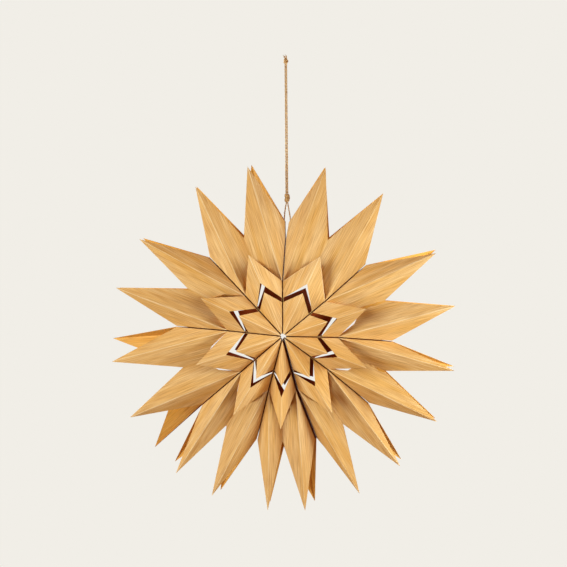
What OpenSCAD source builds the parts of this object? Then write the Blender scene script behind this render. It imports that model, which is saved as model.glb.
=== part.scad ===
// Hanging paper star: nine slit and folded leaves, glued edge to edge around a hub hole,
// on a doubled twine with a knot above the star and a knot at the end.
// Millimetres, +Z up, the star faces -Y. The origin is the point the twine hangs from.

/* [Sheet] */
// Thickness of the veneer paper
paper = 0.4; // [0.25:0.05:0.8]
// Flat angle between the glued edge and the ridge fold of a leaf, degrees
sheet_angle = 26.5; // [26:0.5:32]
// Half the depth of the wall that is glued to the next leaf, from the hub to the slit
wall_half = 8; // [5:0.5:10]
// Half the depth of that wall at its outer end
wall_end_half = 4; // [3:0.5:6]

/* [Outline] */
// Hub to the outer points
tip_r = 224; // [200:1:260]
// Hub to the notch between two leaves
seam_notch_r = 140; // [128:1:160]
// Hub to the notch in the middle of a leaf
ridge_notch_r = 137; // [128:1:155]
// How far the hub lies left of the middle of the outline
hub_left = 1.5; // [0:0.5:6]
// How far the hub lies below the middle of the outline
hub_below = 0.5; // [0:0.5:6]

/* [Inner star] */
// Hub to the window's inner end at the glued edge
window_in_seam = 44.5; // [36:0.5:47]
// Hub to the window's inner corner on the ridge
window_in_ridge = 62.5; // [52:0.5:68]
// Hub to the window's outer end at the glued edge
window_out_seam = 50; // [48:0.5:60]
// Hub to the window's outer corner on the ridge
window_out_ridge = 76; // [70:0.5:90]
// Hub to the start of the long slit at the glued edge
slit_seam = 72; // [64:0.5:84]
// How much further out the back's windows start
back_in = 5; // [0:0.5:6]
// How much further out they end
back_out = 1; // [1:0.5:5]
// From the notch in the middle of a leaf back to the free tip of the band
band_back = 21.5; // [16:0.5:28]

/* [Folds] */
// How far a regular outer point stands forward of its glued wall
tip_lift = 24; // [15:0.5:34]
// Further lift of a point that swings out by a further ten degrees
swing_lift = 18; // [0:1:24]
// Further reach of such a point
swing_out = 5; // [0:0.5:10]
// How far the valley between two points stands forward at its notch
valley_lift = 2; // [0.5:0.5:6]
// How far the sheet of the points reaches in under the band's tip
slit_lap = 8; // [2:0.5:10]

/* [Seams] */
// Glue film between two leaves
film = 0.1; // [0.05:0.05:0.3]
// Gap between the front folds of two glued leaves
fold_gap = 1.5; // [0.3:0.1:1.8]
// Gap at the front of the seam that closes the fan, which meets only at its back
closing_gap = 3.4; // [1:0.2:4]
// Gap at the end of the seam that the twine pulls apart
hang_gap = 4.6; // [3:0.2:6]
// Hub to the corners of that seam
hang_notch_r = 148; // [146:1:156]
// From those corners back to the end of the glue there
hang_open = 22; // [16:1:26]
// From the notch back to the end of the glue along the other seams
glue_back = 14; // [8:1:20]
// Clear width between the two walls of a leaf where it starts at the hub
start_gap = 0.3; // [0.2:0.05:0.8]

/* [Twine] */
// Diameter of one strand
twine_d = 1.7; // [1.2:0.1:2]
// Hole for the twine through the two glued walls
hole_d = 2.6; // [2.4:0.1:3.4]
// From the corners of the hanging seam back to that hole
hole_back = 32; // [30:1:40]
// From the hanging point down to the hub
drop = 350; // [340:1:380]
// From the hanging point left to the hub
hub_across = 3.6; // [3:0.1:4.2]
// Turns of twine in the knot above the star
lower_turns = 8; // [4:1:10]
// How thick those turns are pulled
lower_wrap = 1.6; // [1:0.1:2]
// Turns of twine in the end knot
top_turns = 6; // [4:1:8]
// How thick those turns are pulled
top_wrap = 1.2; // [0.8:0.1:1.8]
// Clearance between a knot's turns and the two strands they hold
knot_clear = 0.1; // [0.05:0.05:0.3]

/* [Hidden] */
// How the leaves stand in the fan, clockwise from the hanging seam, in degrees: opening,
// then how far the front left, front right, back left and back right points swing out.
fan = [
    [50.4, 10.6, 10.0, 11.2, 10.0],
    [40.6, 9.6, 8.9, 9.8, 10.0],
    [35.4, 8.1, 9.5, 7.8, 10.8],
    [38.8, 8.4, 7.8, 8.6, 8.8],
    [29.7, 7.7, 4.7, 10.0, 5.0],
    [34.8, 8.3, 5.8, 10.0, 8.3],
    [46.1, 10.5, 9.1, 24.1, 15.6],
    [41.7, 9.8, 8.2, 11.0, 7.6],
    [42.5, 8.3, 10.2, 9.2, 10.5]
];
// How far the middle of each leaf's four long slits stands open, in the same order of quarters.
// Below zero, the sheet of the points is tucked under the band.
slits = [
    [-2, -2, -2, -2],
    [-2, 3, -2, 4],
    [-2, 4.2, -2, 7],
    [-1, 2.6, -1, -1],
    [-1, -1, -1, -1],
    [2.2, 1.2, -1, 2],
    [3.2, 1.4, 6, 3],
    [-1, 2.2, -1, -1],
    [-1, -0.5, -1, -1]
];
// How much further out the notch of each leaf's back lies.
back_notch = [3, 0, 0, 0, 9, 4, 0, 0, 3];
// How far each seam's outer end leans from its inner line, the hanging seam first, in degrees.
lean = [-2.3, 1.1, -1.6, -1.7, 3.1, 0.7, 0, 0.6, 0.3];
leaves = len(fan);
hang_angle = 90.2;   // direction of the hanging seam from the hub
closing_seam = 4;    // the seam that closes the fan
regular = 0.43;      // a regular point's swing, as a part of half the leaf's opening
regular_rise = 18;   // the rise of a leaf whose points stand tip_lift forward
swing_step = 10;     // the further swing that the extra lift and reach are given for
band_tip = ridge_notch_r - band_back;
hole_r = hang_notch_r - hole_back;

function total(list, n) = n < 1 ? 0 : list[n - 1] + total(list, n - 1);
function polar(r, a) = [r * cos(a), r * sin(a)];
function unit(v) = v / norm(v);
function spread(v) = let (s = fan[v][0]) s * 360 / total([for (row = fan) row[0]], leaves);
openings = [for (i = [0 : leaves - 1]) spread(i)];
function seam_angle(i) = hang_angle - total(openings, i);
function middle(i) = seam_angle(i) - openings[i] / 2;

// The outline is centred a little away from the hub, so its radii change with direction.
function reach(a) = hub_left * cos(a) + hub_below * sin(a);
function notch_r(seam, a) = seam == 0 ? hang_notch_r : seam_notch_r + reach(a);
// Row is 1 for the front folds, 0 for the middle of the wall and -1 for the back folds.
function gap(seam, row) = seam == closing_seam ? film + (closing_gap - film) * (1 + row) / 2
    : row == 0 ? film : fold_gap;
function end_gap(seam, row) = seam == 0 ? hang_gap : seam == closing_seam ? gap(seam, row) : fold_gap;
function glue_r(seam, end) = end - (seam == 0 ? hang_open : glue_back);
function further(row, step) = row < 0 ? step : 0;

// A leaf's own frame: u along its middle, v to its left, d toward the front, hub at zero.
// Side is 1 for the leaf's left seam and -1 for its right seam.
function seam_of(i, side) = side > 0 ? i : (i + 1) % leaves;
function half(i) = openings[i] / 2;
function rise(i) = acos(cos(sheet_angle) / cos(half(i)));
function slit_point(i, side) = polar(slit_seam, side * half(i));
function notch_point(i, side) = let (s = seam_of(i, side), a = side * half(i) + lean[s])
    polar(notch_r(s, middle(i) + a), a);
function inward(side, v) = side * [v[1], -v[0]] / norm(v);
function seam_line(i, side, r) =
    let (p = slit_point(i, side), q = notch_point(i, side), n = norm(q))
    r <= slit_seam ? polar(r, side * half(i)) : p + (q - p) * (r - slit_seam) / (n - slit_seam);
function seam_normal(i, side, r) =
    let (p = slit_point(i, side), a = inward(side, p), b = inward(side, notch_point(i, side) - p))
    r < slit_seam ? a : r > slit_seam ? b : (a + b) / (1 + a * b);

// Where the planes of a leaf's inner facets meet in front of the hub.
function set_in(gap) = (gap + paper) / 2;
function apex(i, face) = let (l = set_in(gap(seam_of(i, 1), face)), r = set_in(gap(seam_of(i, -1), face)))
    [(l + r) / 2 / sin(half(i)), (r - l) / 2 / cos(half(i))];
function start(i) = (paper + start_gap) / 2 / sin(half(i));
function seam_radii(i, side, row) = let (end = norm(notch_point(i, side)), face = row < 0 ? -1 : 1)
    [apex(i, face) * polar(1, side * half(i)) + start(i), window_in_seam + further(row, back_in),
     window_out_seam + further(row, back_out), slit_seam, glue_r(seam_of(i, side), end), end];
function wall_at(r, end) = r <= slit_seam ? wall_half
    : wall_half + (wall_end_half - wall_half) * (r - slit_seam) / (end - slit_seam);
function seam_points(i, side, row) = let (rs = seam_radii(i, side, row), s = seam_of(i, side))
    [for (k = [0 : 5]) let (wide = k == 5 ? end_gap(s, row) : gap(s, row),
        p = seam_line(i, side, rs[k]) + set_in(wide) * seam_normal(i, side, rs[k]))
        [p[0], p[1], row * wall_at(rs[k], rs[5])]];

function corner(face, side) = (face > 0 ? 0 : 2) + (side > 0 ? 0 : 1);
function swing(i, face, side) = fan[i][1 + corner(face, side)];
function past(i, face, side) = max(0, swing(i, face, side) - regular * half(i)) / swing_step;
function lift(i, face, side) = tip_lift * tan(rise(i)) / tan(regular_rise) + swing_lift * past(i, face, side);
function tip(i, face, side) = let (a = side * swing(i, face, side),
    p = polar(tip_r + reach(middle(i) + a) + swing_out * past(i, face, side), a))
    [p[0], p[1], face * (wall_half + lift(i, face, side))];

// The valley between the two points, and the plane from it up to each point's fold.
function valley(i, face) = [ridge_notch_r + reach(middle(i)) + (face < 0 ? back_notch[i] : 0),
    apex(i, face)[1], face * (wall_half + valley_lift)];
function point_depth(i, face, side, at) = let (p = slit_point(i, side), a = [p[0], p[1], face * wall_half],
    n = cross(tip(i, face, side) - a, valley(i, face) - a))
    a[2] - (n[0] * (at[0] - a[0]) + n[1] * (at[1] - a[1])) / n[2];
function middle_points(i, face) =
    let (at = apex(i, face), under = [band_tip - slit_lap, at[1]],
        d = [for (s = [1, -1]) face * point_depth(i, face, s, under)])
    concat([for (u = [at[0] + start(i), window_in_ridge + further(face, back_in),
        window_out_ridge + further(face, back_out), band_tip])
        [u, at[1], face * (wall_half + (u - at[0]) * tan(rise(i)))]],
        [[under[0], under[1], face * max(wall_half / 2, (d[0] + d[1]) / 2)], valley(i, face)]);
function slit_middle(i, face, side) = let (p = slit_point(i, side), q = [band_tip, apex(i, face)[1]],
    m = (p + q) / 2 - slits[i][corner(face, side)] * inward(side, q - p))
    [m[0], m[1], point_depth(i, face, side, m)];

// The folded sheet as one surface: walls first, then the four quarters.
function leaf_points(i) = concat(
    [for (side = [1, -1]) for (row = [1, 0, -1]) each seam_points(i, side, row)],
    [for (face = [1, -1]) each middle_points(i, face)],
    [for (face = [1, -1]) for (side = [1, -1]) tip(i, face, side)],
    [for (face = [1, -1]) for (side = [1, -1]) slit_middle(i, face, side)]);
function S(side, row, k) = (side > 0 ? 0 : 18) + (1 - row) * 6 + k;
function M(face, k) = (face > 0 ? 36 : 42) + k;
function T(face, side) = 48 + corner(face, side);
function Q(face, side) = T(face, side) + 4;
function turned(t, sign) = sign > 0 ? t : [t[2], t[1], t[0]];
function walls(side) = [for (row = [1, 0]) for (k = [0 : 4])
    for (t = [[S(side, row, k), S(side, row, k + 1), S(side, row - 1, k + 1)],
              [S(side, row, k), S(side, row - 1, k + 1), S(side, row - 1, k)]]) turned(t, side)];
function quarter(f, s) = [for (t = [
    [M(f, 0), M(f, 1), S(s, f, 1)], [M(f, 0), S(s, f, 1), S(s, f, 0)],
    [M(f, 2), M(f, 3), S(s, f, 3)], [M(f, 2), S(s, f, 3), S(s, f, 2)],
    [S(s, f, 3), T(f, s), S(s, f, 4)], [S(s, f, 4), T(f, s), S(s, f, 5)],
    [S(s, f, 3), Q(f, s), T(f, s)], [Q(f, s), M(f, 4), M(f, 5)], [Q(f, s), M(f, 5), T(f, s)]])
    turned(t, f * s)];
sheet = concat(walls(1), walls(-1), [for (f = [1, -1]) for (s = [1, -1]) each quarter(f, s)]);
sides = [for (t = sheet) for (e = [[t[0], t[1]], [t[1], t[2]], [t[2], t[0]]]) e];
rim = [for (e = sides) if (len([for (o = sides) if (o == [e[1], e[0]]) 1]) == 0) e];
around = [for (p = [0 : 55]) [for (t = [0 : len(sheet) - 1]) if (len(search(p, sheet[t])) > 0) t]];

// Half the paper's thickness to each side, mitred at the folds.
function facing(points, t) = unit(cross(points[t[1]] - points[t[0]], points[t[2]] - points[t[0]]));
function mitre(normals) = let (a = normals[0], dots = [for (n = normals) a * n],
    b = normals[search(min(dots), dots)[0]]) (a + b) / (1 + a * b);

module folded(points) {
    n = len(points);
    normals = [for (t = sheet) facing(points, t)];
    off = [for (p = [0 : n - 1]) paper / 2 * mitre([for (t = around[p]) normals[t]])];
    polyhedron(
        points = concat(points + off, points - off),
        faces = concat(
            [for (t = sheet) [t[2], t[1], t[0]]],
            [for (t = sheet) [t[0] + n, t[1] + n, t[2] + n]],
            [for (e = rim) each [[e[0], e[1], e[1] + n], [e[0], e[1] + n, e[0] + n]]]));
}

// The star lies face up in its own frame and is stood up and hung by this.
module hung() translate([-hub_across, 0, -drop]) rotate([90, 0, 0]) children();

hole_at = let (p = seam_line(0, 1, hole_r), a = middle(0))
    [p[0] * cos(a) - p[1] * sin(a), p[0] * sin(a) + p[1] * cos(a)];
hole_turn = let (v = notch_point(0, 1) - slit_point(0, 1)) middle(0) + atan2(v[1], v[0]) - 90;

module twine_hole() translate([hole_at[0], hole_at[1], 0]) rotate([0, 90, hole_turn])
    cylinder(d = hole_d, h = 2 * (film + 2 * paper), center = true, $fn = 48);

module leaf(i) color("#e3b374") hung() difference() {
    rotate([0, 0, middle(i)]) folded(leaf_points(i));
    if (i == 0 || i == leaves - 1) twine_hole();
}

// Twine: each strand starts in the hole, comes out of its leaf, and goes up through both knots.
right_route = [
    [-0.4, -234], [0.6, -233.8], [1.5, -232.6], [1.7, -230], [2, -226], [3.2, -218], [4.5, -210],
    [5.7, -202], [5.9, -199], [5.4, -194], [4.2, -187], [3.1, -181]
];
left_route = [
    [-0.8, -234], [-1.7, -233.9], [-2.5, -232.7], [-2.4, -230], [-2.2, -226], [-2, -218], [-1.8, -210],
    [-2, -202], [-2, -199], [-1.6, -194], [-0.9, -187], [0.1, -181]
];
stem_route = [
    [1.6, -177], [1.6, -171], [1.6, -165], [1.3, -140], [1, -110], [0.8, -80], [0.5, -50], [0.2, -20],
    [0, 0], [0, 5], [0, 8.6]
];
right_end = [0.4, 12.2];
left_end = [-2.4, 11.8];
strand_gap = 0.04;             // between the two strands where they run side by side
strand = (twine_d + strand_gap) / 2;
facets = 8;                    // around a strand
function route(legs, side, end) = concat([for (p = legs) [p[0], 0, p[1]]],
    [for (p = stem_route) [p[0] + side * strand, 0, p[1]]], [[end[0], 0, end[1]]]);

function tangent(path, k) = unit(path[min(k + 1, len(path) - 1)] - path[max(k - 1, 0)]);
function ring(path, k, r) = let (t = tangent(path, k), a = [0, 1, 0], b = cross(t, a))
    [for (q = [0 : facets - 1]) path[k] + r * (cos(360 / facets * q) * a + sin(360 / facets * q) * b)];

module tube(path, r) {
    n = len(path);
    polyhedron(
        points = [for (k = [0 : n - 1]) each ring(path, k, r)],
        faces = concat([[for (q = [0 : facets - 1]) q]],
            [[for (q = [facets - 1 : -1 : 0]) (n - 1) * facets + q]],
            [for (k = [0 : n - 2]) for (q = [0 : facets - 1])
                let (w = (q + 1) % facets, lo = k * facets, hi = lo + facets)
                each [[lo + q, hi + q, hi + w], [lo + q, hi + w, lo + w]]]));
}

module twine_left() color("#b08d5e") tube(route(left_route, -1, left_end), twine_d / 2);
module twine_right() color("#b08d5e") tube(route(right_route, 1, right_end), twine_d / 2);

// A knot: turns of the same twine around both strands, fullest in the middle.
module knot(at, turns, wrap) {
    hold = strand + twine_d / 2 + knot_clear;
    pitch = 0.8 * wrap;          // the turns are pulled into each other
    swell = 0.25 * wrap;         // how much further out the middle turn lies
    pressed = 1.15 * wrap;       // a turn's section where it fills the dents beside it
    translate([at[0], 0, at[1]]) rotate_extrude($fn = 48) difference() {
        for (k = [0 : turns - 1]) let (step = k - (turns - 1) / 2)
            translate([hold + wrap / 2 + swell * cos(180 * step / turns), step * pitch])
                circle(d = pressed, $fn = 24);
        translate([-hold, -turns * wrap]) square([2 * hold, 2 * turns * wrap]);
    }
}

module lower_knot() color("#b08d5e") knot(stem_route[1], lower_turns, lower_wrap);
module top_knot() color("#b08d5e") knot(stem_route[9], top_turns, top_wrap);

for (i = [1 : leaves]) leaf(i - 1);
twine_left();
twine_right();
lower_knot();
top_knot();
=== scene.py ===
# %% [markdown]
# # A hanging paper star in wood veneer
# The star is nine sheets of veneer paper, slit, folded and glued in a ring, on a doubled jute twine.
# The solids already have every fold at its real size. This lesson keeps those forms and gives them
# what paper and twine have: soft folds, wood grain, a slight bow, spun fibres and tied knots.

# %% Load the solids and keep their box
import math
import random

import bpy
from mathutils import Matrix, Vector


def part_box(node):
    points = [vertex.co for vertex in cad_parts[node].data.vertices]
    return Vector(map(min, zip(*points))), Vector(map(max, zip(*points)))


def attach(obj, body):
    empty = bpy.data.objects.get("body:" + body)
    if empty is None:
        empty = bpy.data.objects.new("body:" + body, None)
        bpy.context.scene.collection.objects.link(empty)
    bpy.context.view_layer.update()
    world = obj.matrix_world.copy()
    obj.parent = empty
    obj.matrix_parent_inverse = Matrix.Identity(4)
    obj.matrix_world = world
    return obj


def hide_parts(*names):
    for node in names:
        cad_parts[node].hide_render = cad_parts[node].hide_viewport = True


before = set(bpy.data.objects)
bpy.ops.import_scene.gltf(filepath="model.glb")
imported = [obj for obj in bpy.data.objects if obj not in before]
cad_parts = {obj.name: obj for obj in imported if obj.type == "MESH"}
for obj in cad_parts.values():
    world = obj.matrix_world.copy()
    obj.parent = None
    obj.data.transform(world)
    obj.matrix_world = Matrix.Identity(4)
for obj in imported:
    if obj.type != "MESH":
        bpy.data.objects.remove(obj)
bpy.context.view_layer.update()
MM = 0.001
print("nodes:", sorted(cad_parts))

# %% [markdown]
# ## Camera
# The photograph was taken from a little to the right of the star and a little above its hub, with a
# long lens. The camera stands at that angle and turns until the hub falls on the pixel where the
# photograph has it. A turn is used, not a lens shift, so that other views are framed the same way.

# %% Camera at the photograph's angle
HUB = Vector((-3.6, 0, -350)) * MM
IMAGE_PIXELS = 567
HUB_PIXEL = (283.0, 335.9)
PIXEL = 1.297 * MM                # what one pixel covers at the hub
AZIMUTH, ELEVATION = math.radians(3), math.radians(5)
DISTANCE = 3.6
SENSOR_MM = 36

back = Vector((math.sin(AZIMUTH) * math.cos(ELEVATION),
               -math.cos(AZIMUTH) * math.cos(ELEVATION),
               math.sin(ELEVATION)))
right = Vector((math.cos(AZIMUTH), math.sin(AZIMUTH), 0))
up = back.cross(right)
middle_pixel = IMAGE_PIXELS / 2
aim = (HUB + right * (middle_pixel - HUB_PIXEL[0]) * PIXEL
       + up * (HUB_PIXEL[1] - middle_pixel) * PIXEL)

bpy.ops.object.camera_add(location=HUB + back * DISTANCE)
camera = bpy.context.object
camera.rotation_euler = (aim - camera.location).to_track_quat("-Z", "Y").to_euler()
camera.data.sensor_width = SENSOR_MM
camera.data.lens = SENSOR_MM * DISTANCE / (IMAGE_PIXELS * PIXEL)
camera.data.dof.use_dof = False
bpy.context.scene.camera = camera
print("lens:", round(camera.data.lens, 1), "mm")

# %% [markdown]
# ## Small helpers
# Colours are written as the hex values that a picture editor shows, and one function turns them into
# the linear numbers that shaders work in, by the sRGB curve. Another adds a node with its settings and
# its links, so a material reads from top to bottom like a recipe. Most sockets are called by name. A Mix
# node has one set of sockets for each kind of value, all with the same names, so its colour sockets and
# the two inputs of a Mix Shader node go by their numbers.

# %% Colour and node helpers
FACTOR, COLOUR_A, COLOUR_B, COLOUR_OUT = 0, 6, 7, 2
SHADER_A, SHADER_B = 1, 2


def linear(code):
    channels = [int(code[i:i + 2], 16) / 255 for i in (1, 3, 5)]
    return [c / 12.92 if c <= 0.04045 else ((c + 0.055) / 1.055) ** 2.4 for c in channels] + [1.0]


def add(tree, kind, inputs=None, **settings):
    node = tree.nodes.new(kind)
    for name, value in settings.items():
        setattr(node, name, value)
    for name, value in (inputs or {}).items():
        if isinstance(value, bpy.types.NodeSocket):
            tree.links.new(value, node.inputs[name])
        else:
            node.inputs[name].default_value = value
    return node


def new_material(name):
    material = bpy.data.materials.new(name)
    material.use_nodes = True
    tree = material.node_tree
    return material, tree, tree.nodes["Principled BSDF"]


print("white is", linear("#FFFFFF"))


# %% Selecting one piece
def select_only(piece):
    bpy.ops.object.select_all(action="DESELECT")
    piece.select_set(True)
    bpy.context.view_layer.objects.active = piece


# %% [markdown]
# ## Stage and light
# The star hangs in front of a plain pale backdrop. The backdrop's colour is what the camera sees of
# the world and of the floor, and the object is lit apart from that. A small box stands close on the
# right, almost level with the face, so its light grazes the folds and each facet takes its own shade.
# A larger box in front on the left fills in, a very small one lifts the inner star, and a large one
# lights the back. The weak fill from all round is warm, because most of what reaches a shaded facet has
# come off the wood beside it.

# %% World
BACKDROP = "#F1EEE7"
FILL, FILL_TINT = 0.27, "#FFA868"

world = bpy.data.worlds.new("pale studio")
bpy.context.scene.world = world
world.use_nodes = True
tree = world.node_tree
tree.nodes.clear()
path = add(tree, "ShaderNodeLightPath")
seen = add(tree, "ShaderNodeBackground", {"Color": linear(BACKDROP), "Strength": 1.0})
fill = add(tree, "ShaderNodeBackground", {"Color": linear(FILL_TINT), "Strength": FILL})
mixed = add(tree, "ShaderNodeMixShader",
            {FACTOR: path.outputs["Is Camera Ray"], SHADER_A: fill.outputs[0], SHADER_B: seen.outputs[0]})
add(tree, "ShaderNodeOutputWorld", {"Surface": mixed.outputs[0]})
bpy.context.scene.view_settings.view_transform = "Standard"
print("world:", world.name)

# %% Floor
FLOOR_DROP, FLOOR_SIZE = 4, 24    # metres: below the hub, and across
FLOOR_PAINT = "#E9E6DF"

bpy.ops.mesh.primitive_plane_add(size=FLOOR_SIZE, location=(0, 0, HUB.z - FLOOR_DROP))
floor = bpy.context.object
floor.name = "floor"
# Matt pale paint, which gives the eye no gloss at all.
material, tree, shader = new_material("pale floor")
shader.inputs["Base Color"].default_value = linear(FLOOR_PAINT)
shader.inputs["Roughness"].default_value = 0.9
path = add(tree, "ShaderNodeLightPath")
glow = add(tree, "ShaderNodeEmission", {"Color": linear(BACKDROP), "Strength": 1.0})
mixed = add(tree, "ShaderNodeMixShader",
            {FACTOR: path.outputs["Is Camera Ray"], SHADER_A: shader.outputs[0], SHADER_B: glow.outputs[0]})
tree.links.new(mixed.outputs[0], tree.nodes["Material Output"].inputs["Surface"])
floor.data.materials.append(material)
print("floor:", FLOOR_SIZE, "m across")

# %% Soft boxes
# Each box has its place from the hub and its side, both in metres, and its power in watts.
BOXES = {"right box": (Vector((0.5, -0.17, 0.01)), 0.25, 2.7),
         "left box": (Vector((-0.75, -0.52, 0.11)), 0.5, 7),
         "front box": (Vector((0.02, -0.165, 0.058)), 0.06, 0.07),
         "back box": (Vector((-1.2, 4.2, 1.4)), 2.2, 160)}
BOX_TINT = "#F4FFF8"

for name, (offset, side, watts) in BOXES.items():
    bpy.ops.object.light_add(type="AREA", location=HUB + offset)
    soft_box = bpy.context.object
    soft_box.name = name
    soft_box.rotation_euler = (-offset).to_track_quat("-Z", "Y").to_euler()
    soft_box.data.shape = "SQUARE"
    soft_box.data.size = side
    soft_box.visible_camera = False
    soft_box.data.energy = watts
    soft_box.data.color = linear(BOX_TINT)[:3]
print("lights:", list(BOXES))

# %% [markdown]
# ## Twine
# The star hangs on a doubled jute twine. Each strand starts in the hole through the two glued walls of
# the upper seam, comes out past its leaf and goes up to the knot above the star. From there both run
# side by side to the end knot. The points are the solids' own route, in millimetres. A strand is two
# plies spun together, so its section has two lobes that turn as it runs.

# %% Jute
# Jute is a dull golden fibre. It is rough, so the eye sees no gloss, only pale and dark fibres side by
# side. Real fibres are finer than a tenth of a millimetre, and here they are as coarse as needed to show.
JUTE_LIGHT, JUTE_DARK = "#F4D096", "#8E6026"
FIBRE_MM = (0.6, 0.6, 3)
DARK_UP_TO, LIGHT_FROM = 0.32, 0.58

jute, tree, shader = new_material("jute twine")
coords = add(tree, "ShaderNodeTexCoord")
mapped = add(tree, "ShaderNodeMapping",
             {"Vector": coords.outputs["Object"], "Scale": [1 / (size * MM) for size in FIBRE_MM]})
fibre = add(tree, "ShaderNodeTexNoise", {"Vector": mapped.outputs[0], "Scale": 1.0, "Detail": 2})
share = add(tree, "ShaderNodeMapRange",
            {"Value": fibre.outputs["Fac"], "From Min": DARK_UP_TO, "From Max": LIGHT_FROM})
colour = add(tree, "ShaderNodeMix",
             {FACTOR: share.outputs[0], COLOUR_A: linear(JUTE_DARK), COLOUR_B: linear(JUTE_LIGHT)},
             data_type="RGBA")
tree.links.new(colour.outputs[COLOUR_OUT], shader.inputs["Base Color"])
shader.inputs["Roughness"].default_value = 0.85
shader.inputs["Specular IOR Level"].default_value = 0.2
print("jute fibres", FIBRE_MM, "mm")

# %% The routes of the two strands
TWINE, HALF_GAP = 1.7 * MM, 0.02 * MM
BESIDE = TWINE / 2 + HALF_GAP     # how far each strand lies from the middle of the stem
RIGHT_ROUTE = [(-0.4, -234), (0.6, -233.8), (1.5, -232.6), (1.7, -230), (2, -226), (3.2, -218),
               (4.5, -210), (5.7, -202), (5.9, -199), (5.4, -194), (4.2, -187), (3.1, -181)]
LEFT_ROUTE = [(-0.8, -234), (-1.7, -233.9), (-2.5, -232.7), (-2.4, -230), (-2.2, -226), (-2, -218),
              (-1.8, -210), (-2, -202), (-2, -199), (-1.6, -194), (-0.9, -187), (0.1, -181)]
STEM_ROUTE = [(1.6, -177), (1.6, -171), (1.6, -165), (1.3, -140), (1, -110), (0.8, -80), (0.5, -50),
              (0.2, -20), (0, 0), (0, 5), (0, 8.6)]
RIGHT_END, LEFT_END = (0.4, 12.2), (-2.4, 11.8)
ROUTE_STEP = 0.5 * MM


def route(legs, side, end):
    stem = [(x + side * BESIDE / MM, z) for x, z in STEM_ROUTE]
    return [Vector((x, 0, z)) * MM for x, z in legs + stem + [end]]


def flowing(points):
    """Close places on the smooth curve through the points, a Catmull-Rom spline."""
    ends = [2 * points[0] - points[1]] + points + [2 * points[-1] - points[-2]]
    places = []
    for p, a, b, n in zip(ends, ends[1:], ends[2:], ends[3:]):
        count = max(1, round((b - a).length / ROUTE_STEP))
        for t in (k / count for k in range(count)):
            places.append((2 * a + (b - p) * t + (2 * p - 5 * a + 4 * b - n) * t ** 2
                           + (3 * a - p - 3 * b + n) * t ** 3) / 2)
    return places + [points[-1]]


def run_length(places):
    return sum((b - a).length for a, b in zip(places, places[1:]))


routes = {"twine_right": flowing(route(RIGHT_ROUTE, 1, RIGHT_END)),
          "twine_left": flowing(route(LEFT_ROUTE, -1, LEFT_END))}
print({name: len(places) for name, places in routes.items()}, "places")

# %% [markdown]
# A strand could be a plain tube with a twisted bump, but its edge would stay straight. Here a curve with a
# two-lobed section follows the route. The tilt of its points grows with the run, so the section turns once
# in every seven millimetres, and the curve is then made a mesh.

# %% Spun strands
PLIES, PLY_TURN, PLY_WAIST = 2, 7 * MM, 0.11
SECTION_POINTS = 20


def line_of(name, places, closed=False):
    line = bpy.data.curves.new(name, "CURVE")
    line.dimensions = "3D"
    spline = line.splines.new("POLY")
    spline.points.add(len(places) - 1)
    spline.use_cyclic_u = closed
    for point, place in zip(spline.points, places):
        point.co = (*place, 1)
    piece = bpy.data.objects.new(name, line)
    bpy.context.scene.collection.objects.link(piece)
    return piece


turns = [2 * math.pi * k / SECTION_POINTS for k in range(SECTION_POINTS)]
section = [Vector((math.cos(a), math.sin(a), 0)) * TWINE / 2
           * (1 - PLY_WAIST + PLY_WAIST * math.cos(PLIES * a)) for a in turns]
two_plies = line_of("two_plies", section, closed=True)


def spun(name, places, thick, closed=False):
    piece = line_of(name, places, closed)
    piece.data.bevel_mode = "OBJECT"
    piece.data.bevel_object = two_plies
    piece.data.use_fill_caps = True
    run = 0
    for k, point in enumerate(piece.data.splines[0].points):
        run += (places[k] - places[max(k - 1, 0)]).length
        point.tilt = 2 * math.pi * run / PLY_TURN
        point.radius = thick / TWINE
    select_only(piece)
    bpy.ops.object.convert(target="MESH")
    piece = bpy.context.object
    bpy.ops.object.shade_smooth()
    piece.data.materials.clear()
    piece.data.materials.append(jute)
    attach(piece, "root")
    print(name, len(piece.data.polygons), "faces")
    return piece


strands = {name: spun(name + "_spun", places, TWINE) for name, places in routes.items()}

# %% [markdown]
# ## Knots
# Each knot is an overhand knot in the doubled twine. Its line is a trefoil, wound twice round the
# strands while it goes up and down three times, and it fills the box of the knot's solid. The cut end
# that the lower knot leaves over lies along the stem for a few centimetres.

# %% Two overhand knots
KNOT_WINDS, KNOT_RISES = 2, 3
KNOT_STEPS = 160
KNOT_CORE = 2.6                   # the ring's radius, in units of how far it swings in and out
KNOT_THICK = {"lower_knot": 3.2 * MM, "top_knot": 2.6 * MM}


def overhand(name, thick):
    low, high = (Vector(corner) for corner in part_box(name))
    middle, size = (low + high) / 2, high - low
    places = []
    for t in (2 * math.pi * k / KNOT_STEPS for k in range(KNOT_STEPS)):
        out = (size.x - thick) / 2 * (KNOT_CORE + math.cos(KNOT_RISES * t)) / (KNOT_CORE + 1)
        rise = (size.z - thick) / 2 * math.sin(KNOT_RISES * t)
        wind = KNOT_WINDS * t
        places.append(middle + Vector((out * math.cos(wind), out * math.sin(wind), rise)))
    piece = spun(name + "_tied", places, thick, closed=True)
    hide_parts(name)
    return piece


knots = [overhand(name, thick) for name, thick in KNOT_THICK.items()]

# %% The cut end, and the facts of the twine
TAIL_ROUTE = [(1.6, -171), (1.6, -166), (1.4, -150), (1.2, -128)]
TAIL_SIDE, TAIL_FRONT = -1.3, -1.45
TAIL_THICK = 1.3 * MM

tail = [Vector((x + TAIL_SIDE, TAIL_FRONT, z)) * MM for x, z in TAIL_ROUTE]
knots.append(spun("lower_knot_tail", flowing(tail), TAIL_THICK))
for name, places in routes.items():
    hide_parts(name)
    print(name, round(run_length(places) / MM), "mm long")

# %% [markdown]
# Jute is never smooth. Short fibres stand off the strands all the way up, and the two cut ends above the
# knot are frayed into one short tuft that leans to the left. A fibre is a thin curve of three points: its
# root on the strand, a point half-way, and an end that strays from the straight line.

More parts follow.
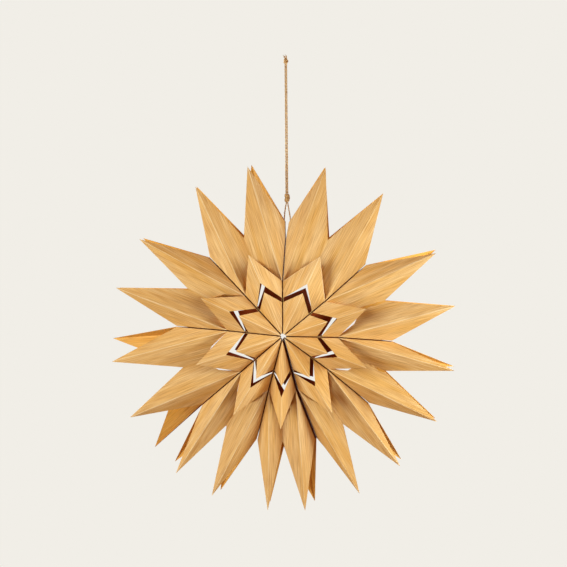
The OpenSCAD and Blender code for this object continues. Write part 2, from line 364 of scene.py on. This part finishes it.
# %% Where the fibres stand
FIBRES, FIBRE_SEED = 600, 5
FIBRE_LONG, FIBRE_STEEP = 3 * MM, 0.6
FIBRE_STRAIGHT = 5                # an end strays by up to a fifth of the length
HIDDEN_STEPS = 60                 # the first steps of a strand lie inside the leaves
TUFT, TUFT_STEPS = 90, 10
TUFT_ROOT = 3                     # roots spread by up to a third of the twine's thickness
TUFT_LEAN, TUFT_STRAY = Vector((-0.7, 0, 1)) * MM, 1 * MM

draw = random.Random(FIBRE_SEED)
strand_places = [place for places in routes.values() for place in places[HIDDEN_STEPS:]]
end_places = [place for places in routes.values() for place in places[-TUFT_STEPS:]]


def loose():
    return Vector((draw.uniform(-1, 1), draw.uniform(-1, 1), draw.uniform(-1, 1)))


hairs = []
for k in range(FIBRES):
    start = draw.choice(strand_places)
    out = Vector((draw.uniform(-1, 1), draw.uniform(-1, 1), draw.uniform(-FIBRE_STEEP, FIBRE_STEEP)))
    out = out * FIBRE_LONG / 2
    hairs.append([start, start + out / 2, start + out + loose() * FIBRE_LONG / FIBRE_STRAIGHT])
for k in range(TUFT):
    start = draw.choice(end_places)
    start = start + loose() * TWINE / TUFT_ROOT
    hairs.append([start, start + TUFT_LEAN / 2 + loose() * TUFT_STRAY / 2,
                  start + TUFT_LEAN + loose() * TUFT_STRAY])
print(len(hairs), "fibres")

# %% Fibres and frayed end
FIBRE_THIN = 0.06 * MM

fibres = line_of("twine_fibres", hairs[0])
for hair in hairs[1:]:
    spline = fibres.data.splines.new("POLY")
    spline.points.add(len(hair) - 1)
    for point, place in zip(spline.points, hair):
        point.co = (*place, 1)
fibres.data.bevel_depth = FIBRE_THIN
fibres.data.bevel_resolution = 0
select_only(fibres)
bpy.ops.object.convert(target="MESH")
fibres = bpy.context.object
fibres.data.materials.append(jute)
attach(fibres, "root")
bpy.data.objects.remove(two_plies)
print(fibres.name, len(fibres.data.polygons), "faces")

# %% [markdown]
# ## Veneer paper
# The sheet is real wood, sliced to a few tenths of a millimetre and backed with paper. It is matt, and the
# eye sees broad bands of early and late wood, long streaks in them and fine dark pores. All of them run
# along each sheet's own grain, so the patterns read a UV map in metres whose first axis is the grain. Each
# is a noise that is stretched along that axis. Real pores are finer, and here they are drawn as wide as
# the picture needs to show them.

# %% One pattern of the grain
# Sizes are in millimetres, along and across the grain. A pattern begins at one value of its noise, is
# full at another, and then covers the colour under it by the share given last.
BAND = {"size": (120, 9), "detail": 2, "begins": 0.3, "full": 0.7, "covers": 1}
STREAK = {"size": (50, 1.1), "detail": 3, "begins": 0.35, "full": 0.75, "covers": 0.42}
PORE = {"size": (30, 0.62), "detail": 1, "begins": 0.4, "full": 0.72, "covers": 0.6}


def grain(tree, size, detail, begins, full, covers):
    coords = add(tree, "ShaderNodeUVMap", uv_map="grain")
    scale = (1 / (size[0] * MM), 1 / (size[1] * MM), 1)
    mapped = add(tree, "ShaderNodeMapping", {"Vector": coords.outputs[0], "Scale": scale})
    noise = add(tree, "ShaderNodeTexNoise",
                {"Vector": mapped.outputs[0], "Scale": 1.0, "Detail": detail}, noise_dimensions="2D")
    share = add(tree, "ShaderNodeMapRange",
                {"Value": noise.outputs["Fac"], "From Min": begins, "From Max": full, "To Max": covers})
    return share.outputs[0]


# %% Veneer paper
# A fold is paler because pressing breaks the wood's surface. The inside of a point is painted a warmer
# orange, a painted glow that stands in for light bounced between the sheets, and deep inside the star the
# sheet is painted a dark red brown, which is painted shade.
FACE, FOLD, INSIDE_PAINTED_GLOW, DEEP_PAINTED_SHADE = range(4)
RELIEF = 0.1 * MM


def veneer(name, light, dark, streak_dark, pore_dark):
    material, tree, shader = new_material(name)
    band, streak, pore = (grain(tree, **pattern) for pattern in (BAND, STREAK, PORE))
    wood = linear(light)
    for share, code in ((band, dark), (streak, streak_dark), (pore, pore_dark)):
        layer = add(tree, "ShaderNodeMix", {FACTOR: share, COLOUR_A: wood, COLOUR_B: linear(code)},
                    data_type="RGBA")
        wood = layer.outputs[COLOUR_OUT]
    tree.links.new(wood, shader.inputs["Base Color"])
    bump = add(tree, "ShaderNodeBump", {"Strength": 0.25, "Distance": RELIEF, "Height": streak}, invert=True)
    tree.links.new(bump.outputs[0], shader.inputs["Normal"])
    shader.inputs["Roughness"].default_value = 0.62
    shader.inputs["Specular IOR Level"].default_value = 0.3
    return material


VENEERS = [veneer("veneer paper", "#F4D298", "#ECBD70", "#D89A4A", "#B47830"),
           veneer("veneer paper, pressed fold", "#FCE6BC", "#F6D69E", "#E4BA7A", "#CC9C5A"),
           # Painted glow: the warmer orange inside the points stands in for light bounced between the
           # sheets.
           veneer("veneer paper, inside", "#F9C76C", "#F1B44D", "#D89536", "#B47524"),
           # Painted shade: the dark red brown deep inside the star stands in for the shadow there.
           veneer("veneer paper, deep inside", "#A8470C", "#963A08", "#7C2C05", "#601C03")]
print("veneer:", [material.name for material in VENEERS])

# %% [markdown]
# ## Leaves
# Each leaf starts as a copy of its solid, because the folds and cuts there are already right. The copy
# is merged into flat facets, and its facets are told apart by where they lie: the inner star, the outer
# points, the glued walls, and the side of the sheet that looks into the leaf. Corners are copied as they
# are read, because later steps remake the mesh and its own corners are then gone.

# %% Tell the facets of a leaf apart
INNER_REACH, DIAMOND_REACH = 120 * MM, 72 * MM
STRIP_WIDTH = 1 * MM              # a facet narrower than this is the cut edge of the sheet
WALL_FACING = 0.25                # a wall's normal has less than this along Y


def sides(mesh, facet):
    places = [mesh.vertices[v].co.copy() for v in facet.vertices]
    return [(a, b) for a, b in zip(places, places[1:] + places[:1])]


def longest(mesh, facets):
    return max((side for f in facets for side in sides(mesh, f)), key=lambda s: (s[1] - s[0]).length)


def reach(mesh, facet):
    return max(math.hypot(a.x - HUB.x, a.z - HUB.z) for a, b in sides(mesh, facet))


def is_broad(mesh, facet):
    return facet.area > STRIP_WIDTH * max((b - a).length for a, b in sides(mesh, facet))


def is_wall(facet):
    return abs(facet.normal.y) < WALL_FACING


def looks_in(facet):
    return is_wall(facet) or facet.normal.y * facet.center.y < 0


# A facet that looks into the leaf gets painted light: painted shade on the walls and the inner star, and a
# painted glow past the slits.
def veneer_of(mesh, facet):
    if not is_broad(mesh, facet) or not looks_in(facet):
        return FACE
    return DEEP_PAINTED_SHADE if is_wall(facet) or reach(mesh, facet) < INNER_REACH else INSIDE_PAINTED_GLOW


# %% Read where a leaf's folds run
class Leaf:
    """Where one leaf's ridge and point folds run, read from its facets.

    A leaf has four quarters: front or back, and left or right of its ridge.
    """

    def __init__(self, mesh):
        broad = [f for f in mesh.polygons if is_broad(mesh, f) and abs(f.normal.y) > WALL_FACING]
        diamonds = [f for f in broad if reach(mesh, f) < DIAMOND_REACH]
        self.ridge = {}
        for front in (True, False):
            a, b = longest(mesh, [f for f in diamonds if (f.center.y < 0) == front])
            self.ridge[front] = (b - a if (b - a).dot(b - HUB) > 0 else a - b).normalized()
        self.along = Vector((self.ridge[True].x, 0, self.ridge[True].z)).normalized()
        self.across = Vector((0, 1, 0)).cross(self.along)
        bands = [f for f in broad if DIAMOND_REACH < reach(mesh, f) < INNER_REACH]
        self.band_tip = max((a - HUB).dot(self.along) for f in bands for a, b in sides(mesh, f))
        points = [f for f in broad if reach(mesh, f) > INNER_REACH]
        self.fold = {}
        for quarter in {self.quarter(f.center) for f in points}:
            ends = longest(mesh, [f for f in points if self.quarter(f.center) == quarter])
            self.fold[quarter] = sorted(ends, key=lambda e: (e - HUB).length)

    def quarter(self, place):
        return place.y < 0, (place - HUB).dot(self.across) > 0

    def flat(self, place):
        return Vector(((place - HUB).dot(self.along), abs((place - HUB).dot(self.across))))


# %% [markdown]
# The grain runs along the ridge on the inner star and along the fold on each outer point, as on a sheet
# that was cut with its long side along the wood. Every leaf takes its patches from other places of the
# veneer, so no two look the same.

# %% Which way the grain runs
VENEER_LENGTH = 3                 # metres of veneer that the patches are taken from
PATCHES = 5                       # the inner star and four points


def lay_grain(mesh, leaf, seed):
    draw = random.Random(seed)
    shift = [(draw.uniform(0, VENEER_LENGTH), draw.uniform(0, VENEER_LENGTH)) for _ in range(PATCHES)]
    for layer in list(mesh.uv_layers):
        mesh.uv_layers.remove(layer)
    uv = mesh.uv_layers.new(name="grain")
    order = sorted(leaf.fold)
    for f in mesh.polygons:
        quarter = leaf.quarter(f.center)
        if not is_broad(mesh, f) or is_wall(f):
            a, b = longest(mesh, [f])
            along, start = (b - a).normalized(), shift[0]
        elif reach(mesh, f) < INNER_REACH:
            along, start = leaf.ridge[quarter[0]], shift[0]
        else:
            a, b = leaf.fold[quarter]
            along, start = (b - a).normalized(), shift[1 + order.index(quarter)]
        across = f.normal.cross(along)
        for loop in f.loop_indices:
            place = mesh.vertices[mesh.loops[loop].vertex_index].co - HUB
            uv.data[loop].uv = (place.dot(along) + start[0], place.dot(across) + start[1])


# %% [markdown]
# ## Folds and bends
# A real fold isn't a knife edge, so the ridges and the folds of the points are bevelled by a fraction of
# a millimetre and pressed paler. The facets are then divided into small triangles that can bend.

# %% Copy a solid and press its folds
MERGE = 0.01 * MM
FLAT = math.radians(0.2)          # facets that meet at less than this are one
FOLD_ANGLE = math.radians(8)
FOLD_WIDTH, FOLD_STEPS = 0.6 * MM, 2


def copy_of_solid(name):
    piece = bpy.data.objects.new(name + "_paper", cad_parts[name].data.copy())
    bpy.context.scene.collection.objects.link(piece)
    piece.data.materials.clear()
    for material in VENEERS:
        piece.data.materials.append(material)
    select_only(piece)
    bpy.ops.object.mode_set(mode="EDIT")
    bpy.ops.mesh.select_all(action="SELECT")
    bpy.ops.mesh.remove_doubles(threshold=MERGE)
    bpy.ops.mesh.dissolve_limited(angle_limit=FLAT)
    bpy.ops.object.mode_set(mode="OBJECT")
    if piece.data.has_custom_normals:
        bpy.ops.mesh.customdata_custom_splitnormals_clear()
    return piece


def select_edges(piece, wanted):
    bpy.ops.object.mode_set(mode="OBJECT")
    for part in (piece.data.polygons, piece.data.edges, piece.data.vertices):
        part.foreach_set("select", [False] * len(part))
    chosen = 0
    for edge in piece.data.edges:
        edge.select = wanted(edge)
        chosen += edge.select
    bpy.ops.object.mode_set(mode="EDIT")
    return chosen


def pressed_folds(mesh):
    beside = {}
    for f in mesh.polygons:
        for key in f.edge_keys:
            beside.setdefault(key, []).append(f)
    folds = set()
    for key, pair in beside.items():
        if len(pair) == 2 and all(is_broad(mesh, f) and not looks_in(f) for f in pair):
            a, b = pair
            if a.normal.angle(b.normal) > FOLD_ANGLE and (b.center - a.center).dot(a.normal) < 0:
                folds.add(key)
    return folds


def press(piece):
    folds = pressed_folds(piece.data)
    select_edges(piece, lambda edge: edge.key in folds)
    bpy.ops.mesh.select_mode(type="EDGE")
    bpy.ops.mesh.bevel(offset=FOLD_WIDTH, segments=FOLD_STEPS, material=FOLD, clamp_overlap=True)
    return len(folds)


# %% Divide the facets
FACET_EDGE = 6 * MM


def edge_length(piece, edge):
    a, b = (piece.data.vertices[v].co for v in edge.vertices)
    return (a - b).length


def divide(piece):
    while select_edges(piece, lambda edge: edge_length(piece, edge) > FACET_EDGE):
        bpy.ops.mesh.subdivide(number_cuts=1)
        bpy.ops.mesh.select_all(action="SELECT")
        bpy.ops.mesh.quads_convert_to_tris(quad_method="SHORTEST_DIAGONAL", ngon_method="BEAUTY")
    bpy.ops.object.mode_set(mode="OBJECT")


# %% [markdown]
# Past the long slit, the sheet between two points bends in towards the middle of the star. Where its edge
# is tucked under the band it bends deep and makes a dark pocket, and where the slit stands open it bends
# only a little. The bend is strongest at the slit and ends at the folds of the points. Near the middle
# plane it is squeezed. To cut it off there would be shorter, but would press the sheet to no thickness.

# %% Bend the sheet at the slits
CURL, CURL_OPEN = 15 * MM, 3 * MM           # how deep a tucked and an open sheet would bend with room
MIDDLE_CLEAR = 1.5 * MM                     # how near the middle plane a sheet may come
CURL_REACH = 22 * MM                        # how far from the slit the bend ends
CURL_FREE = 3 * MM                          # how far from a fold the bend is free of it
CURL_FADE = 0.7                             # the share of the bend that is lost at the band's tip
SLIT_MIDDLE = (0.4, 0.6)                    # the stretch of a slit that tells if it is tucked


def off_line(place, a, b):
    way = (b - a).normalized()
    return way.x * (place - a).y - way.y * (place - a).x


def between(mesh, leaf, facet):
    a, b = (leaf.flat(end) for end in leaf.fold[leaf.quarter(facet.center)])
    below_fold = off_line(leaf.flat(facet.center), a, b) < 0
    past_slit = reach(mesh, facet) > INNER_REACH
    return below_fold and past_slit and is_broad(mesh, facet)


def curl(mesh, leaf):
    soft = mesh.attributes["between points"].data
    chosen = {v for f in mesh.polygons if soft[f.index].value for v in f.vertices}
    tip = Vector((leaf.band_tip, 0))
    bends, tucked = [], set()
    for v in (mesh.vertices[k] for k in chosen):
        quarter, place = leaf.quarter(v.co), leaf.flat(v.co)
        a, b = (leaf.flat(end) for end in leaf.fold[quarter])
        run = min(1, max(0, (place - a).dot(tip - a) / (tip - a).length_squared))
        off_slit, off_fold = off_line(place, a, tip), off_line(place, b, a)
        if SLIT_MIDDLE[0] < run < SLIT_MIDDLE[1] and off_slit < 0:
            tucked.add(quarter)
        near = max(0, 1 - max(0, off_slit) / CURL_REACH) ** 2
        bends.append((v, quarter, (1 - CURL_FADE * run) * near * min(1, max(0, off_fold) / CURL_FREE)))
    for v, quarter, share in bends:
        down = share * (CURL if quarter in tucked else CURL_OPEN)
        room = abs(v.co.y) - MIDDLE_CLEAR
        if room > 0:
            v.co.y = math.copysign(MIDDLE_CLEAR + room * math.exp(-down / room), v.co.y)
    return len(tucked)


# %% [markdown]
# All facets bow a little, because paper that was folded by hand is never quite flat. A slow cloud pattern
# moves them forward or back. The shading is then smooth where the sheet bends softly, as in the valley
# between two points, and sharp at its cut edges. Large faces count for more in it, so they still look flat.

# %% Bow and shading
BOW_DEPTH, BOW_LENGTH = 1.4 * MM, 55 * MM
SMOOTH = math.radians(35)
AREA_WEIGHT = 90

bow = bpy.data.textures.new("bow of folded paper", "CLOUDS")
bow.noise_scale = BOW_LENGTH


def bow_and_shade(piece):
    bowed = piece.modifiers.new("bow", "DISPLACE")
    bowed.texture = bow
    bowed.direction = "Y"
    bowed.strength = BOW_DEPTH
    bpy.ops.object.modifier_apply(modifier=bowed.name)
    bpy.ops.object.shade_smooth_by_angle(angle=SMOOTH)
    even = piece.modifiers.new("even facets", "WEIGHTED_NORMAL")
    even.keep_sharp = True
    even.weight = AREA_WEIGHT
    bpy.ops.object.modifier_apply(modifier=even.name)


# %% The nine leaves
LEAVES = 9


def paper_leaf(name, seed):
    piece = copy_of_solid(name)
    mesh = piece.data
    leaf = Leaf(mesh)
    lay_grain(mesh, leaf, seed)
    for f in mesh.polygons:
        f.material_index = veneer_of(mesh, f)
    soft = mesh.attributes.new("between points", "BOOLEAN", "FACE").data
    for f in mesh.polygons:
        soft[f.index].value = between(mesh, leaf, f)
    folds = press(piece)
    divide(piece)
    tucked = curl(mesh, leaf)
    bow_and_shade(piece)
    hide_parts(name)
    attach(piece, "root")
    print(piece.name, folds, "folds,", tucked, "tucked slits,", len(mesh.polygons), "faces")


for i in range(1, LEAVES + 1):
    paper_leaf(f"leaf_{i}", seed=i)

# %% [markdown]
# ## Glue
# Two leaves are held by a film of glue between their walls. It is far too thin to see from the side, and its
# dark brown is painted shade, which keeps a seam dark where the view runs straight through it. Each film
# follows the line where the middles of two walls come closest. The seam that closes the fan stands open, so
# it has none, and the film of the hanging seam ends well before the hole for the twine.

# %% Where two walls meet
# The glue is painted a dull dark brown, which is painted shade for the shadow deep in the seam, so the eye
# sees it as a line and not as a surface.
GLUE_SEAM_SHADE_COLOUR = "#5A3010"
GLUE_END, HANGING_END = 130 * MM, 80 * MM
SEAM_WIDTH = 0.2 * MM             # walls that are further apart than this aren't glued

glue, tree, shader = new_material("glue")
# Painted shade: the glue's dark brown stands in for the shadow deep in the seam.
shader.inputs["Base Color"].default_value = linear(GLUE_SEAM_SHADE_COLOUR)
shader.inputs["Roughness"].default_value = 0.8


def seam_line(one, other, end):
    walls = [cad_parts[name].data.vertices for name in (one, other)]
    middles = [[v.co for v in wall if abs(v.co.y) < MERGE] for wall in walls]
    line = {}
    for p in middles[0]:
        q = min(middles[1], key=lambda place: (place - p).length)
        if (q - p).length < SEAM_WIDTH and (p - HUB).length < end:
            line[round((p - HUB).length / MM)] = (p + q) / 2
    return [line[station] for station in sorted(line)]


# %% Glue films
GLUE_THICK, GLUE_DEEP, GLUE_START = 0.03 * MM, 2 * MM, 5 * MM


def glue_film(name, line):
    line = [HUB + (line[0] - HUB).normalized() * GLUE_START] + line
    count = len(line)
    mesh = bpy.data.meshes.new(name)
    mesh.from_pydata([p + Vector((0, side, 0)) * GLUE_DEEP for side in (-1, 1) for p in line], [],
                     [(k, k + 1, count + k + 1, count + k) for k in range(count - 1)])
    film = bpy.data.objects.new(name, mesh)
    bpy.context.scene.collection.objects.link(film)
    mesh.materials.append(glue)
    select_only(film)
    thick = film.modifiers.new("thickness", "SOLIDIFY")
    thick.thickness, thick.offset = GLUE_THICK, 0
    bpy.ops.object.modifier_apply(modifier=thick.name)
    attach(film, "root")


films = 0
for i in range(1, LEAVES + 1):
    line = seam_line(f"leaf_{i}", f"leaf_{i - 1 or LEAVES}", HANGING_END if i == 1 else GLUE_END)
    if line:
        glue_film(f"glue_{i}", line)
        films += 1
print(films, "glue films")
